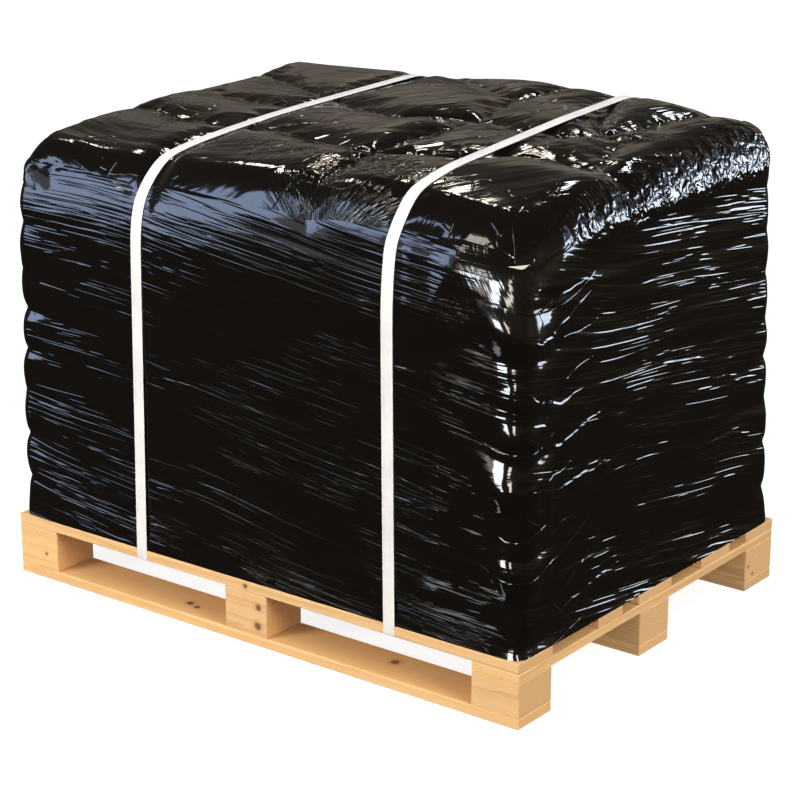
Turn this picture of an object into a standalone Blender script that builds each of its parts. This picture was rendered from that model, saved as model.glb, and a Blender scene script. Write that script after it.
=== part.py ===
"""A wooden block pallet loaded with layers of sacks, wrapped in black stretch film and tied by two straps.

Units are metres, +Z is up. The origin is on the floor under the middle of the pallet, X runs along the
pallet's length, and the long side that the camera sees faces -Y.
"""

import bmesh
import bpy
import math
from mathutils import Vector

# Pallet
LENGTH = 1.200
WIDTH = 0.875
BOTTOM_BOARD = 0.020
BLOCK_HEIGHT = 0.065
CROSS_BOARD = 0.018
DECK_BOARD = 0.020
BLOCK = 0.100
MIDDLE_SHIFT = -0.012
ARRIS = 0.0015
GAP = 0.0003
# Centre across the width, and width, of each deck board from the near side to the far side
DECK_BOARDS = ((-0.3860, 0.103), (-0.1500, 0.080), (0.0010, 0.114), (0.2190, 0.106), (0.3860, 0.103))

# Load
LAYERS = 9
LAYER_PITCH = 0.085
LOAD_LENGTH = 1.190
LOAD_WIDTH = 0.862
TAPER = 0.010
FLARE = 0.0045
FLARE_HEIGHT = 0.050
# The near side swells out towards the top, most at this X
NEAR_BULGE = 0.017
NEAR_BULGE_X = 0.320
NEAR_BULGE_REACH = 0.600
CORNER_LEFT = 0.028
CORNER_RIGHT_LOW = 0.030
CORNER_RIGHT_HIGH = 0.065
RIM = 0.006
# Radius of the shoulder over each side: (left, right) and (near, far)
SHOULDERS_X = (0.032, 0.085)
SHOULDERS_Y = (0.090, 0.036)
SHOULDER_CUTS = (0.20, 0.55, 1.00)
CROWN = 0.0376
RISE_ALONG = 0.048
SAG_ALONG = 0.068
DROOP_ALONG = 0.144
RISE_ACROSS = 0.055
SAG_ACROSS = 0.090
# Joints between the sacks of the top layer, along the length and across the width
TOP_JOINTS_X = (-0.270, 0.100)
TOP_JOINTS_Y = (-0.165, 0.125)
PILLOW = 0.016
PILLOW_REACH = 0.110
PILLOW_AT_EDGE = 0.3
FILM_VALLEY = 0.007
SACK_VALLEY = 0.018

# Film and straps
FILM = 0.0012
SACK_INSET = 0.0038
SACK_CORNER = 0.012
SACK_RIMS = (0.018, 0.060)
SACK_SIDE_CUTS = (0.12, 0.50, 0.88)
# X of each strap at the middle of the width, and how far it drifts along X for each metre across
STRAPS = (("strap_left", -0.256, 0.037), ("strap_right", 0.306, -0.037))
STRAP_WIDTH = 0.025
STRAP = 0.0009
STRAP_POINTS = 0.003
GROOVE = 0.008
GROOVE_DEPTH = 0.022
SMOOTH_UNDER = math.radians(40)

DECK_TOP = BOTTOM_BOARD + BLOCK_HEIGHT + CROSS_BOARD + DECK_BOARD
LAST_JOINT = DECK_TOP + (LAYERS - 1) * LAYER_PITCH


def clear_scene():
    for obj in list(bpy.data.objects):
        bpy.data.objects.remove(obj, do_unlink=True)


def new_collection(name):
    collection = bpy.data.collections.new(name)
    bpy.context.scene.collection.children.link(collection)
    return collection


def material(name, colour, roughness, metallic=0.0):
    made = bpy.data.materials.new(name)
    made.use_nodes = True
    shader = made.node_tree.nodes["Principled BSDF"]
    shader.inputs["Base Color"].default_value = (*colour, 1.0)
    shader.inputs["Roughness"].default_value = roughness
    shader.inputs["Metallic"].default_value = metallic
    return made


def add_object(name, bm, collection, finish=None, place=(0.0, 0.0, 0.0)):
    mesh = bpy.data.meshes.new(name)
    bm.to_mesh(mesh)
    bm.free()
    obj = bpy.data.objects.new(name, mesh)
    obj.location = place
    if finish:
        mesh.materials.append(finish)
    collection.objects.link(obj)
    return obj


def box_mesh(size):
    bm = bmesh.new()
    bmesh.ops.create_cube(bm, size=1.0)
    bmesh.ops.scale(bm, vec=size, verts=bm.verts)
    return bm


def board(name, size, foot, collection, finish):
    """A sawn board or block that stands on its foot point, with its arrises slightly broken."""
    length, width, height = size[0], size[1], size[2] - GAP
    place = (foot[0], foot[1], foot[2] + height / 2)
    obj = add_object(name, box_mesh((length, width, height)), collection, finish, place)
    bevel = obj.modifiers.new("arris", "BEVEL")
    bevel.width = ARRIS
    bevel.segments = 1
    bevel.limit_method = "ANGLE"
    return obj


def block_places():
    """(column, X) of the three block columns; the middle one was nailed a little off centre."""
    end = LENGTH / 2 - BLOCK / 2
    return (("left", -end), ("middle", MIDDLE_SHIFT), ("right", end))


def row_places():
    """(row, Y) of the three block rows under the long edges and the middle."""
    side = WIDTH / 2 - BLOCK / 2
    return (("near", -side), ("middle", 0.0), ("far", side))


def build_pallet(collection):
    wood = material("pine_wood", (0.78, 0.56, 0.31), 0.75)
    base = 0.0
    for row, y in row_places():
        size = (LENGTH, BLOCK, BOTTOM_BOARD)
        board("bottom_board_" + row, size, (0.0, y, base), collection, wood)
    base += BOTTOM_BOARD
    for column, x in block_places():
        for row, y in row_places():
            size = (BLOCK, BLOCK, BLOCK_HEIGHT)
            board("block_%s_%s" % (column, row), size, (x, y, base), collection, wood)
    base += BLOCK_HEIGHT
    for column, x in block_places():
        size = (BLOCK, WIDTH, CROSS_BOARD)
        board("cross_board_" + column, size, (x, 0.0, base), collection, wood)
    base += CROSS_BOARD
    for number, (y, width) in enumerate(DECK_BOARDS, 1):
        size = (LENGTH, width, DECK_BOARD)
        board("deck_board_%d" % number, size, (0.0, y, base), collection, wood)


def clamp(value, limit):
    return max(-limit, min(limit, value))


def height_share(z):
    return (z - DECK_TOP) / (LAYERS * LAYER_PITCH)


def layer_bulge(z, valley):
    """How far the side falls back at a height: nothing at the middle of a layer, all of it at a joint."""
    phase = (z - DECK_TOP) / LAYER_PITCH % 1.0
    return -valley * abs(2 * phase - 1) ** 2


def half_sizes(z, valley):
    """Half length and half width of the load at a height."""
    flare = FLARE * max(0.0, 1 - (z - DECK_TOP) / FLARE_HEIGHT) ** 2
    change = layer_bulge(z, valley) - TAPER * height_share(z) + flare
    return LOAD_LENGTH / 2 + change, LOAD_WIDTH / 2 + change


def near_bulge(x, y, z):
    """How far a point of the near side swells out over the plain side, fading to nothing at mid width."""
    along = max(0.0, 1 - ((x - NEAR_BULGE_X) / NEAR_BULGE_REACH) ** 2)
    across = max(0.0, -y) / (LOAD_WIDTH / 2)
    return NEAR_BULGE * height_share(z) * along * across


def sack_drop(value, joints):
    """1 at a joint between two sacks, along one axis, falling to 0 on either side."""
    nearest = min(abs(value - joint) for joint in joints)
    return max(0.0, 1 - nearest / PILLOW_REACH) ** 2


def top_height(x, y):
    """The top of the load: a crown, highest right of the middle, with a pillow over each sack."""
    along = RISE_ALONG * x - SAG_ALONG * x ** 2 - DROOP_ALONG * x ** 3
    across = RISE_ACROSS * y - SAG_ACROSS * y ** 2
    outward = max(abs(x) / (LOAD_LENGTH / 2), abs(y) / (LOAD_WIDTH / 2))
    depth = PILLOW * (1 - (1 - PILLOW_AT_EDGE) * outward ** 4)
    drop = sack_drop(x, TOP_JOINTS_X) + sack_drop(y, TOP_JOINTS_Y)
    return DECK_TOP + LAYERS * LAYER_PITCH + CROWN + along + across - depth * drop


def shoulder_fall(x, y, half_x, half_y, depth):
    """How far the top falls near a side; at the side itself it is the shoulder, or the depth there is."""
    fall = 0.0
    for value, half, radii in ((x, half_x, SHOULDERS_X), (y, half_y, SHOULDERS_Y)):
        radius = min(radii[0] if value < 0 else radii[1], depth)
        reach = radius - min(radius, max(0.0, half - abs(value)))
        fall = max(fall, radius - math.sqrt(radius ** 2 - reach ** 2))
    return fall


def rounded(x, y, half_x, half_y, radius):
    """A point of a rectangle moved to the same place in a rectangle with round corners."""
    cx, cy = clamp(x, half_x - radius), clamp(y, half_y - radius)
    dx, dy = x - cx, y - cy
    if dx == 0 or dy == 0:
        return x, y
    scale = max(abs(dx), abs(dy)) / math.hypot(dx, dy)
    return cx + dx * scale, cy + dy * scale


def corner_radius(x, z):
    if x < 0:
        return CORNER_LEFT
    return CORNER_RIGHT_LOW + (CORNER_RIGHT_HIGH - CORNER_RIGHT_LOW) * height_share(z)


def settle(co, inset, valley, extra_radius, on_top):
    """Where a point of the plain block lies on the load, an inset inside the film's outer face."""
    half_x, half_y = [half - inset for half in half_sizes(co.z, valley)]
    flat_x, flat_y = co.x / (LOAD_LENGTH / 2) * half_x, co.y / (LOAD_WIDTH / 2) * half_y
    x, y = rounded(flat_x, flat_y, half_x, half_y, corner_radius(co.x, co.z) + extra_radius)
    y -= near_bulge(x, y, co.z)
    if not on_top:
        return Vector((x, y, co.z))
    top = top_height(x, y)
    fall = shoulder_fall(flat_x, flat_y, half_x, half_y, top - LAST_JOINT - RIM)
    return Vector((x, y, top - fall - inset))


def edge_cuts(half, low_steps, high_steps):
    return [-half + step for step in low_steps] + [half - step for step in high_steps]


def sliced_block(low, high, x_cuts, y_cuts, z_cuts):
    """A plain block with the load's length and width, cut by planes into a grid on every face."""
    bm = box_mesh((LOAD_LENGTH, LOAD_WIDTH, high - low))
    bmesh.ops.translate(bm, vec=(0, 0, (low + high) / 2), verts=bm.verts)
    for axis, cuts in ((0, x_cuts), (1, y_cuts), (2, z_cuts)):
        normal = Vector([1.0 if i == axis else 0.0 for i in range(3)])
        for cut in cuts:
            everything = bm.verts[:] + bm.edges[:] + bm.faces[:]
            bmesh.ops.bisect_plane(bm, geom=everything, plane_co=normal * cut, plane_no=normal)
    return bm


def top_cuts():
    """Cuts that follow the shoulders, the joints between the top sacks and the middle of each sack."""
    half_x, half_y = LOAD_LENGTH / 2, LOAD_WIDTH / 2
    cuts = []
    for half, joints, radii in ((half_x, TOP_JOINTS_X, SHOULDERS_X), (half_y, TOP_JOINTS_Y, SHOULDERS_Y)):
        low_steps, high_steps = [[share * radius for share in SHOULDER_CUTS] for radius in radii]
        near_joints = [joint + side * PILLOW_REACH / 2 for joint in joints for side in (-1, 0, 1)]
        stops = (-half, *joints, half)
        middles = [(low + high) / 2 for low, high in zip(stops, stops[1:])]
        cuts.append(edge_cuts(half, low_steps, high_steps) + near_joints + middles)
    return cuts


def move_top_block(bm, high, inset, valley):
    """Moves each point of a block that reaches the load's top. Its upper rim is the foot of the shoulder."""
    for vert in bm.verts:
        on_top = vert.co.z > high - 1e-6
        vert.co = settle(vert.co, inset, valley, 0.0, on_top)


def joint_cutter(name, low, high, lines_x, lines_y, collection):
    """Thin walls that cut the gaps between sacks into a layer's sides, top and underside."""
    bm = bmesh.new()
    depth = GROOVE_DEPTH
    for axis, lines in ((0, lines_x), (1, lines_y)):
        across = LOAD_WIDTH if axis == 0 else LOAD_LENGTH
        for line in lines:
            for side in (-1, 1):
                size = [2 * depth] * 2 + [2 * (high - low)]
                size[axis] = GROOVE
                middle = [side * across / 2] * 2 + [(low + high) / 2]
                middle[axis] = line
                made = bmesh.ops.create_cube(bm, size=1.0)["verts"]
                bmesh.ops.scale(bm, vec=size, verts=made)
                bmesh.ops.translate(bm, vec=middle, verts=made)
    cutter = add_object(name, bm, collection)
    cutter.hide_render = True
    cutter.display_type = "WIRE"
    return cutter


def cut_joints(obj, cutter):
    cut = obj.modifiers.new("sack joints", "BOOLEAN")
    cut.operation = "DIFFERENCE"
    cut.solver = "EXACT"
    cut.object = cutter


def even_joints(half, count):
    return [-half + 2 * half * step / count for step in range(1, count)]


def build_sacks(collection, cutters):
    """One solid for each layer: odd ones lie three by three, even ones four by two, in bond."""
    cloth = material("woven_sack", (0.70, 0.68, 0.62), 0.6)
    half_x, half_y = LOAD_LENGTH / 2, LOAD_WIDTH / 2
    bulge_cuts = [NEAR_BULGE_X - share * NEAR_BULGE_REACH for share in (1.0, 0.5, 0.0)]
    for number in range(1, LAYERS):
        low = DECK_TOP + (number - 1) * LAYER_PITCH + GAP / 2
        high = low + LAYER_PITCH - GAP
        z_cuts = [low + (high - low) * share for share in SACK_SIDE_CUTS]
        x_cuts, y_cuts = [edge_cuts(half, SACK_RIMS, SACK_RIMS) for half in (half_x, half_y)]
        bm = sliced_block(low, high, x_cuts + bulge_cuts, y_cuts, z_cuts)
        for vert in bm.verts:
            vert.co = settle(vert.co, SACK_INSET, SACK_VALLEY, SACK_CORNER, False)
        obj = add_object("sack_layer_%d" % number, bm, collection, cloth)
        columns, rows = (3, 3) if number % 2 else (4, 2)
        lines_x, lines_y = even_joints(half_x, columns), even_joints(half_y, rows)
        cutter = joint_cutter("joints_%d" % number, low, high, lines_x, lines_y, cutters)
        cut_joints(obj, cutter)
    x_cuts, y_cuts = top_cuts()
    low, high = LAST_JOINT + GAP / 2, LAST_JOINT + RIM
    bm = sliced_block(low, high, x_cuts, y_cuts, [])
    move_top_block(bm, high, SACK_INSET, FILM_VALLEY)
    add_object("sack_layer_%d" % LAYERS, bm, collection, cloth)


def build_film(collection):
    """Stretch film round the sides and over the top, open underneath, with its hem on the deck."""
    film = material("stretch_film", (0.012, 0.011, 0.010), 0.22)
    x_cuts, y_cuts = top_cuts()
    z_cuts = []
    for layer in range(LAYERS - 1):
        z_cuts += [DECK_TOP + (layer + share) * LAYER_PITCH for share in (0.5, 1.0)]
    low, high = DECK_TOP, LAST_JOINT + RIM
    bm = sliced_block(low, high, x_cuts, y_cuts, z_cuts)
    underside = [face for face in bm.faces if face.normal.z < -0.9]
    bmesh.ops.delete(bm, geom=underside, context="FACES")
    move_top_block(bm, high, 0.0, FILM_VALLEY)
    bmesh.ops.triangulate(bm, faces=bm.faces)
    obj = add_object("stretch_film", bm, collection, film)
    wall = obj.modifiers.new("film thickness", "SOLIDIFY")
    wall.thickness = FILM
    wall.offset = -1.0
    obj.data.shade_smooth()
    obj.data.set_sharp_from_angle(angle=SMOOTH_UNDER)
    return obj


def convex_outline(points):
    """The corners of the tightest outline round the points, in order: the way a taut strap runs."""
    points = sorted(set(points))
    sides = []
    for run in (points, points[::-1]):
        side = []
        for p in run:
            while len(side) > 1:
                a, b = side[-2], side[-1]
                if (b[0] - a[0]) * (p[1] - a[1]) - (b[1] - a[1]) * (p[0] - a[0]) > 1e-9:
                    break
                side.pop()
            side.append(p)
        sides.append(side[:-1])
    return sides[0] + sides[1]


def section_points(film, x, drift):
    """(Y, Z) of the film's outer face where the planes under a strap's edges and middle cut it."""
    across = Vector((1.0, -drift, 0.0)).normalized()
    found = []
    for plane in (x - STRAP_WIDTH / 2, x, x + STRAP_WIDTH / 2):
        bm = bmesh.new()
        bm.from_mesh(film.data)
        everything = bm.verts[:] + bm.edges[:] + bm.faces[:]
        cut = bmesh.ops.bisect_plane(bm, geom=everything, plane_co=(plane, 0, 0), plane_no=across)
        found += [(v.co.y, v.co.z) for v in cut["geom_cut"] if isinstance(v, bmesh.types.BMVert)]
        bm.free()
    return found


def spaced(outline, least):
    """The outline without points that lie closer together than the least distance."""
    kept = [outline[0]]
    for point in outline[1:]:
        if math.dist(point, kept[-1]) >= least:
            kept.append(point)
    return kept


def offset_outline(outline, distance):
    """The outline moved outwards; it runs anticlockwise."""
    moved = []
    for i, here in enumerate(outline):
        before, after = Vector(outline[i - 1]), Vector(outline[(i + 1) % len(outline)])
        one, two = (Vector(here) - before).normalized(), (after - Vector(here)).normalized()
        normal = Vector((one.y + two.y, -one.x - two.x)).normalized()
        share = max(0.5, normal.dot(Vector((one.y, -one.x))))
        moved.append(Vector(here) + normal * distance / share)
    return moved


def build_strap(name, x, drift, film, collection, finish):
    """A flat band pulled tight round the wrapped load, the edges of the deck and its underside."""
    deck_low = DECK_TOP - DECK_BOARD
    edges = [(side * WIDTH / 2, z) for side in (-1, 1) for z in (deck_low, DECK_TOP)]
    outline = spaced(convex_outline(section_points(film, x, drift) + edges), STRAP_POINTS)
    path = offset_outline(outline, 2 * GAP)
    bm = bmesh.new()
    rings = []
    for side in (-1, 1):
        edge_x = x + side * STRAP_WIDTH / 2
        rings.append([bm.verts.new((edge_x + drift * p.x, p.x, p.y)) for p in path])
    for i in range(len(path)):
        j = (i + 1) % len(path)
        bm.faces.new((rings[0][i], rings[0][j], rings[1][j], rings[1][i]))
    bmesh.ops.recalc_face_normals(bm, faces=bm.faces)
    obj = add_object(name, bm, collection, finish)
    wall = obj.modifiers.new("band thickness", "SOLIDIFY")
    wall.thickness = STRAP
    wall.offset = 1.0
    return obj


def main():
    clear_scene()
    parts = new_collection("pallet_of_sacks")
    cutters = new_collection("cutters")
    build_pallet(parts)
    build_sacks(parts, cutters)
    film = build_film(parts)
    band = material("strapping_band", (0.90, 0.90, 0.90), 0.4)
    for name, x, drift in STRAPS:
        build_strap(name, x, drift, film, parts, band)


main()
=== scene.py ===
"""A pallet of sacks under black stretch film, with two white straps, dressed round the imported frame."""
import math

import bmesh
import bpy
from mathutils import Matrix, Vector, bvhtree, kdtree, noise


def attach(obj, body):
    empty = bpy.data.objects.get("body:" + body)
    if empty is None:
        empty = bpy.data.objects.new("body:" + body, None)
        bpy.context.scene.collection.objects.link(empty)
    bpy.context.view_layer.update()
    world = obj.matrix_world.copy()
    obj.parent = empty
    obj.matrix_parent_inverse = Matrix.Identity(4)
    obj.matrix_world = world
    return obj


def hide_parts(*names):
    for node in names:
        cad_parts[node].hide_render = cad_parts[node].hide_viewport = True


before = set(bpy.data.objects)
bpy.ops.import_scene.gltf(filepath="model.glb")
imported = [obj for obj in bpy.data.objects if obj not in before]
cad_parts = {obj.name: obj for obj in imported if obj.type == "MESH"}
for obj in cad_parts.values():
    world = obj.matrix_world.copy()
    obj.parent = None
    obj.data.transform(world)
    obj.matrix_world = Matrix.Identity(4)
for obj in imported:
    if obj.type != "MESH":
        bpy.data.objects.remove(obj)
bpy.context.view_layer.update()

bl_info = {
    "name": "Wrapped pallet of sacks",
    "version": (1, 0, 0),
    "blender": (4, 5, 0),
    "location": "3D Viewport > Sidebar > Pallet",
    "description": "Film, straps, timber and stage for a wrapped pallet of sacks",
    "category": "Object",
}

# The wrapped load, in metres, as the source of the solids gives it.
DECK_TOP = 0.123
DECK_BOARD = 0.020
LAYERS = 9
LAYER_PITCH = 0.085
LOAD_LENGTH = 1.190
LOAD_WIDTH = 0.862
PALLET_WIDTH = 0.875
TAPER = 0.010
FLARE = 0.0045
FLARE_HEIGHT = 0.050
NEAR_BULGE = 0.017
NEAR_BULGE_X = 0.320
NEAR_BULGE_REACH = 0.600
CORNER_LEFT = 0.028
CORNER_RIGHT_LOW = 0.030
CORNER_RIGHT_HIGH = 0.065
RIM = 0.006
SHOULDERS_X = (0.032, 0.085)
SHOULDERS_Y = (0.090, 0.036)
CROWN = 0.0376
RISE_ALONG = 0.048
SAG_ALONG = 0.068
DROOP_ALONG = 0.144
RISE_ACROSS = 0.055
SAG_ACROSS = 0.090
FILM_GAUGE = 0.0012
LAST_JOINT = DECK_TOP + (LAYERS - 1) * LAYER_PITCH

# The sacks on top, seen in plan. Each has a height, as a share of a full sack, and its outline, which
# runs along the valleys between sacks. The outer corners lie outside the load.
TOP_VALLEY = 0.020
TOP_ROUNDING = 0.085
TOP_SACKS = (
    (1.00, ((-0.80, -0.60), (-0.27, -0.60), (-0.27, -0.14), (-0.42, -0.115), (-0.53, -0.10), (-0.80, -0.16))),
    (0.85, ((-0.80, -0.16), (-0.53, -0.10), (-0.42, -0.115), (-0.27, -0.14), (-0.26, 0.035), (-0.385, 0.063),
            (-0.54, 0.092), (-0.80, 0.15))),
    (0.85, ((-0.80, 0.15), (-0.54, 0.092), (-0.385, 0.063), (-0.26, 0.035), (-0.255, 0.13), (-0.36, 0.185),
            (-0.46, 0.246), (-0.54, 0.273), (-0.80, 0.36))),
    (1.10, ((-0.80, 0.36), (-0.54, 0.273), (-0.46, 0.246), (-0.36, 0.185), (-0.255, 0.13), (-0.20, 0.60), (-0.80, 0.60))),
    (1.00, ((-0.27, -0.60), (0.15, -0.60), (0.10, -0.215), (-0.038, -0.174), (-0.136, -0.142), (-0.27, -0.14))),
    (1.00, ((-0.27, -0.14), (-0.136, -0.142), (-0.038, -0.174), (0.10, -0.215), (0.14, 0.00), (0.068, 0.051),
            (-0.01, 0.030), (-0.109, 0.065), (-0.214, 0.103), (-0.255, 0.13), (-0.26, 0.035))),
    (1.05, ((-0.255, 0.13), (-0.214, 0.103), (-0.109, 0.065), (-0.01, 0.030), (0.068, 0.051), (0.147, 0.068),
            (0.13, 0.158), (0.104, 0.244), (0.053, 0.267), (-0.047, 0.341), (-0.154, 0.403), (-0.20, 0.60))),
    (1.20, ((-0.20, 0.60), (-0.154, 0.403), (-0.047, 0.341), (0.053, 0.267), (0.104, 0.244), (0.147, 0.60))),
    (1.05, ((0.15, -0.60), (0.80, -0.60), (0.80, -0.08), (0.505, -0.075), (0.429, -0.086), (0.349, -0.094),
            (0.264, -0.160), (0.10, -0.215))),
    (0.70, ((0.10, -0.215), (0.264, -0.160), (0.349, -0.094), (0.429, -0.086), (0.505, -0.075), (0.477, -0.016),
            (0.449, 0.077), (0.396, 0.093), (0.334, 0.055), (0.256, 0.041), (0.147, 0.068), (0.068, 0.051), (0.14, 0.00))),
    (0.90, ((0.147, 0.60), (0.104, 0.244), (0.13, 0.158), (0.147, 0.068), (0.256, 0.041), (0.334, 0.055),
            (0.396, 0.093), (0.275, 0.279), (0.235, 0.60))),
    (1.05, ((0.235, 0.60), (0.275, 0.279), (0.396, 0.093), (0.422, 0.187), (0.427, 0.267), (0.452, 0.349), (0.50, 0.60))),
    (1.00, ((0.50, 0.60), (0.452, 0.349), (0.427, 0.267), (0.422, 0.187), (0.396, 0.093), (0.449, 0.077),
            (0.477, -0.016), (0.505, -0.075), (0.80, -0.08), (0.80, 0.60))),
)

# The straps: name, X where each crosses mid width, and its drift along X per metre across.
STRAPS = (("strap_left_band", "strap_left", -0.2535, 0.037), ("strap_right_band", "strap_right", 0.306, -0.037))

# Where the film stands proud beside the near right corner, on the near side: X, Z, length, width, height.
# Each is a low ridge that falls to the right, so its upper flank catches the light as a flame does.
CORNER_LUMPS = ((0.550, 0.705, 0.055, 0.028, 0.009), (0.575, 0.576, 0.028, 0.016, 0.005),
                (0.570, 0.518, 0.022, 0.015, 0.0045), (0.548, 0.428, 0.060, 0.030, 0.012),
                (0.562, 0.288, 0.035, 0.020, 0.008), (0.568, 0.252, 0.030, 0.012, 0.004))
# Sharp creases that hang in a V round that corner: places along them.
CREASES = (
    ((0.577, -0.44, 0.693), (0.595, -0.375, 0.670), (0.595, -0.337, 0.678), (0.595, -0.227, 0.731)),
    ((0.595, -0.240, 0.755), (0.595, -0.375, 0.727), (0.595, -0.370, 0.708), (0.595, -0.392, 0.650)),
    ((0.597, -0.421, 0.603), (0.595, -0.377, 0.570), (0.595, -0.311, 0.553), (0.595, -0.247, 0.567)),
    ((0.598, -0.417, 0.538), (0.595, -0.362, 0.526), (0.595, -0.350, 0.548)),
    ((0.598, -0.420, 0.520), (0.595, -0.361, 0.484), (0.595, -0.307, 0.480), (0.595, -0.230, 0.502), (0.595, -0.167, 0.511)),
    ((0.598, -0.402, 0.422), (0.595, -0.318, 0.402), (0.595, -0.234, 0.409), (0.595, -0.155, 0.409)),
    ((0.575, -0.44, 0.400), (0.595, -0.392, 0.362), (0.595, -0.347, 0.323), (0.595, -0.307, 0.340), (0.595, -0.277, 0.343)),
    ((0.595, -0.339, 0.249), (0.595, -0.221, 0.246), (0.595, -0.120, 0.241)),
    ((0.595, -0.363, 0.226), (0.595, -0.304, 0.169), (0.595, -0.295, 0.183), (0.595, -0.229, 0.195), (0.595, -0.119, 0.214)),
)

# The film's slope: the passes climb a little towards the far left corner of the load.
CLIMB_X = 0.087
CLIMB_Y = 0.158


def srgb(code):
    """A hex colour as linear RGBA."""
    parts = [int(code[i:i + 2], 16) / 255 for i in (0, 2, 4)]
    return tuple(p / 12.92 if p <= 0.04045 else ((p + 0.055) / 1.055) ** 2.4 for p in parts) + (1.0,)


def clamp(value, low, high):
    return max(low, min(high, value))


def smooth(value, low, high):
    share = clamp((value - low) / (high - low), 0.0, 1.0)
    return share * share * (3 - 2 * share)


# ---------------------------------------------------------------- settings

class FilmSettings(bpy.types.PropertyGroup):
    colour: bpy.props.FloatVectorProperty(
        name="Film colour", description="Body colour of the black polyethylene", size=4,
        min=0, max=1, subtype="COLOR", default=srgb("0E0C0A"))
    roughness: bpy.props.FloatProperty(
        name="Film roughness", description="Roughness of the film's gloss", default=0.09,
        min=0, max=1, subtype="FACTOR")
    wrinkle_depth: bpy.props.FloatProperty(
        name="Wrinkle depth", description="Height of the drawn wrinkles", default=0.0016,
        unit="LENGTH", subtype="DISTANCE")
    crumple_depth: bpy.props.FloatProperty(
        name="Crumple depth", description="Height of the gathered film on the shoulders",
        default=0.004, unit="LENGTH", subtype="DISTANCE")
    valley_depth: bpy.props.FloatProperty(
        name="Valley depth", description="How far the film sinks between two layers at a corner",
        default=0.009, unit="LENGTH", subtype="DISTANCE")


class StrapSettings(bpy.types.PropertyGroup):
    width: bpy.props.FloatProperty(
        name="Strap width", description="Width of the band", default=0.025,
        unit="LENGTH", subtype="DISTANCE")
    thickness: bpy.props.FloatProperty(
        name="Strap thickness", description="Thickness of the band", default=0.0009,
        unit="LENGTH", subtype="DISTANCE")
    colour: bpy.props.FloatVectorProperty(
        name="Strap colour", description="Colour of the polypropylene", size=4,
        min=0, max=1, subtype="COLOR", default=srgb("F1F1F0"))


class TimberSettings(bpy.types.PropertyGroup):
    early: bpy.props.FloatVectorProperty(
        name="Early wood", description="Colour of the pale part of each ring", size=4,
        min=0, max=1, subtype="COLOR", default=srgb("EFC488"))
    late: bpy.props.FloatVectorProperty(
        name="Late wood", description="Colour of the dark part of each ring", size=4,
        min=0, max=1, subtype="COLOR", default=srgb("CF9655"))
    ring: bpy.props.FloatProperty(
        name="Ring width", description="Distance between growth rings", default=0.0055,
        unit="LENGTH", subtype="DISTANCE")


class StageSettings(bpy.types.PropertyGroup):
    floor: bpy.props.FloatProperty(
        name="Floor size", description="Side of the square floor", default=24.0,
        unit="LENGTH", subtype="DISTANCE")
    lens: bpy.props.FloatProperty(
        name="Lens", description="Focal length of the camera in millimetres", default=107.6)


# ---------------------------------------------------------------- the load's form

def height_share(z):
    return (z - DECK_TOP) / (LAYERS * LAYER_PITCH)


def half_sizes(z):
    flare = FLARE * max(0.0, 1 - (z - DECK_TOP) / FLARE_HEIGHT) ** 2
    change = flare - TAPER * height_share(z)
    return LOAD_LENGTH / 2 + change, LOAD_WIDTH / 2 + change


def near_bulge(x, y, z):
    along = max(0.0, 1 - ((x - NEAR_BULGE_X) / NEAR_BULGE_REACH) ** 2)
    across = max(0.0, -y) / (LOAD_WIDTH / 2)
    return NEAR_BULGE * height_share(z) * along * across


def crown_height(x, y):
    """The top of the load without its sacks' own forms: highest right of the middle."""
    along = RISE_ALONG * x - SAG_ALONG * x ** 2 - DROOP_ALONG * x ** 3
    across = RISE_ACROSS * y - SAG_ACROSS * y ** 2
    return DECK_TOP + LAYERS * LAYER_PITCH + CROWN + along + across


def inside(x, y, outline):
    """Whether a place lies inside an outline."""
    within = False
    for (ax, ay), (bx, by) in zip(outline, outline[1:] + outline[:1]):
        if (ay > y) != (by > y) and x < ax + (bx - ax) * (y - ay) / (by - ay):
            within = not within
    return within


def way_to_outline(x, y, outline):
    """How far a place is from an outline, a little less beside two of its lines than beside one."""
    closeness = 0.0
    for (ax, ay), (bx, by) in zip(outline, outline[1:] + outline[:1]):
        dx, dy = bx - ax, by - ay
        share = clamp(((x - ax) * dx + (y - ay) * dy) / (dx * dx + dy * dy), 0.0, 1.0)
        away = math.hypot(x - ax - share * dx, y - ay - share * dy)
        closeness += max(away, 1e-4) ** -5
    return closeness ** -0.2


def pillow_height(x, y):
    """Height of the film over the top sacks above the valleys between them, as a share of a full sack."""
    x += 0.010 * noise.noise(Vector((x * 6, y * 6, 4.0)))
    y += 0.010 * noise.noise(Vector((x * 6, y * 6, 9.0)))
    for height, outline in TOP_SACKS:
        if inside(x, y, outline):
            in_from_valley = min(1.0, way_to_outline(x, y, outline) / TOP_ROUNDING)
            return height * (1 - (1 - in_from_valley) ** 2.2)
    return 0.0


def top_height(x, y):
    """Height of the film over the top sacks."""
    outward = max(abs(x) / (LOAD_LENGTH / 2), abs(y) / (LOAD_WIDTH / 2))
    depth = TOP_VALLEY * (1 - (0.80 if y > 0 else 0.55) * min(1.0, outward) ** 5)
    left_sag = 0.013 * math.exp(-((x + 0.57) / 0.13) ** 2 - ((y - 0.19) / 0.15) ** 2)
    far_right = smooth(x, 0.10, 0.24) * (1 - smooth(x, 0.48, 0.58))
    far_fall = far_right * (0.018 * smooth(y, 0.34, 0.42) - 0.004 * smooth(y, 0.20, 0.33))
    near_fall = 0.006 * smooth(-y, 0.20, 0.36) * smooth(x, -0.56, -0.34)
    return crown_height(x, y) - depth * (1 - pillow_height(x, y)) - left_sag - far_fall - near_fall


def corner_radius(x, z):
    if x < 0:
        return CORNER_LEFT
    return CORNER_RIGHT_LOW + (CORNER_RIGHT_HIGH - CORNER_RIGHT_LOW) * height_share(z)


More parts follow.
